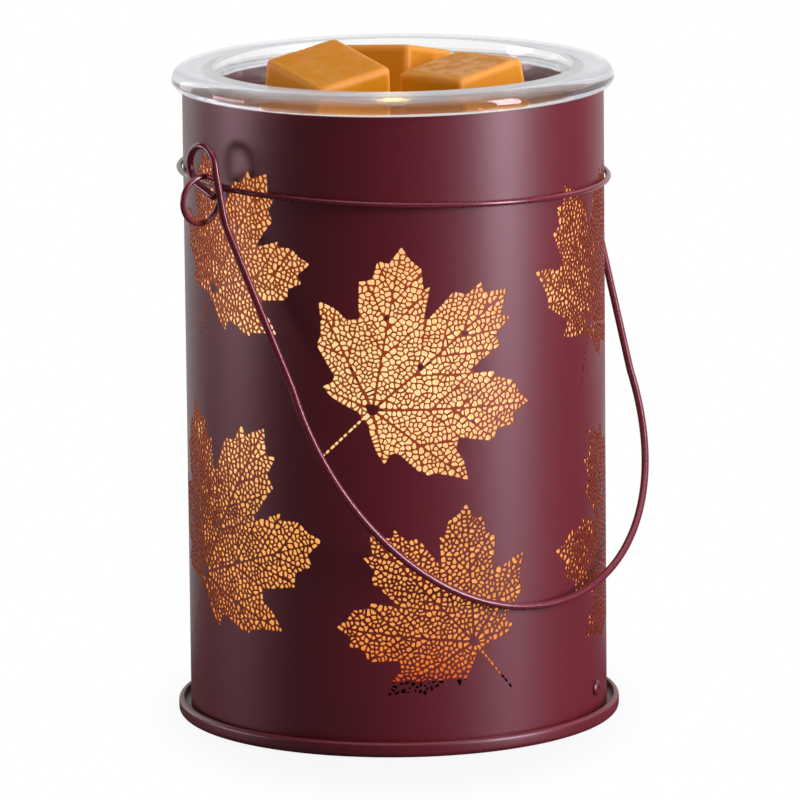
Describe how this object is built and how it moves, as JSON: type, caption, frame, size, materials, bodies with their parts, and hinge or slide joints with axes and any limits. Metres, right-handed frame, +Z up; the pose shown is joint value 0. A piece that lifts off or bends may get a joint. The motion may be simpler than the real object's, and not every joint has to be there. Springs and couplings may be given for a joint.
{
  "type": "wax warmer lamp",
  "caption": "Pierced steel drum lamp on a pan that warms wax cubes in a glass dish, with a twist-lock reflector bulb inside and a wire bail hung in the eyes of a hoop.",
  "frame": {"origin": "middle of the base, on the surface that the feet stand on", "axes": "+Z up; +X from the left eye to the right eye, along the bail's hinge line; the bail rests on the -Y side, which is the front"},
  "size_m": [0.1384, 0.1154, 0.1777],
  "materials": {
    "drum_paint": "satin burgundy powder coat with a fine grain",
    "wire_paint": "satin burgundy coat",
    "plated_steel": "zinc plated",
    "contact_brass": "plain",
    "ceramic_white": "unglazed, matte",
    "block_plastic": "moulded",
    "liner_film": "frosted, lit from behind",
    "lead_sleeve": "braided sleeve",
    "black_rubber": "matte",
    "clear_glass": "clear, polished",
    "capsule_glass": "clear quartz, lit",
    "reflector_mirror": "polished inside",
    "amber_wax": "cast wax, waxy satin"
  },
  "bodies": {
    "housing": {"drum_wall": "drum_paint", "base_tray": "drum_paint", "wall_rivet_1": "drum_paint", "wall_rivet_2": "drum_paint", "hoop_wire": "wire_paint", "lamp_platform": "drum_paint", "holder_bracket": "plated_steel", "base_bolt": "plated_steel", "base_nut": "plated_steel", "holder_screw_1": "plated_steel", "holder_screw_2": "plated_steel", "bushing_nut": "plated_steel", "contact_live": "contact_brass", "contact_neutral": "contact_brass", "terminal_screw_1": "contact_brass", "terminal_screw_2": "contact_brass", "holder_body": "ceramic_white", "holder_base": "ceramic_white", "terminal_block": "block_plastic", "diffuser_liner": "liner_film", "lead_live": "lead_sleeve", "lead_neutral": "lead_sleeve", "cord_bushing": "black_rubber", "foot_pad_1": "black_rubber", "foot_pad_2": "black_rubber", "foot_pad_3": "black_rubber", "foot_pad_4": "black_rubber"},
    "bail": {"bail_handle": "wire_paint"},
    "dish": {"glass_dish": "clear_glass", "wax_cube_left": "amber_wax", "wax_cube_rear": "amber_wax", "wax_cube_right": "amber_wax"},
    "bulb": {"bulb_pin_1": "plated_steel", "bulb_pin_2": "plated_steel", "bulb_base": "ceramic_white", "bulb_front_glass": "clear_glass", "bulb_capsule": "capsule_glass", "bulb_reflector": "reflector_mirror"}
  },
  "joints": [
    {"name": "bail_swing", "type": "hinge", "parent": "housing", "child": "bail", "pos_m": [0, 0, 0.1481], "axis": [-1, 0, 0], "range_deg": [0, 300]},
    {"name": "dish_lift", "type": "slide", "parent": "housing", "child": "dish", "axis": [0, 0, 1], "range_m": [0, 0.06]},
    {"name": "bulb_twist", "type": "hinge", "parent": "housing", "child": "bulb", "pos_m": [0, 0, 0.0642], "axis": [0, 0, 1], "range_deg": [0, 20]}
  ]
}
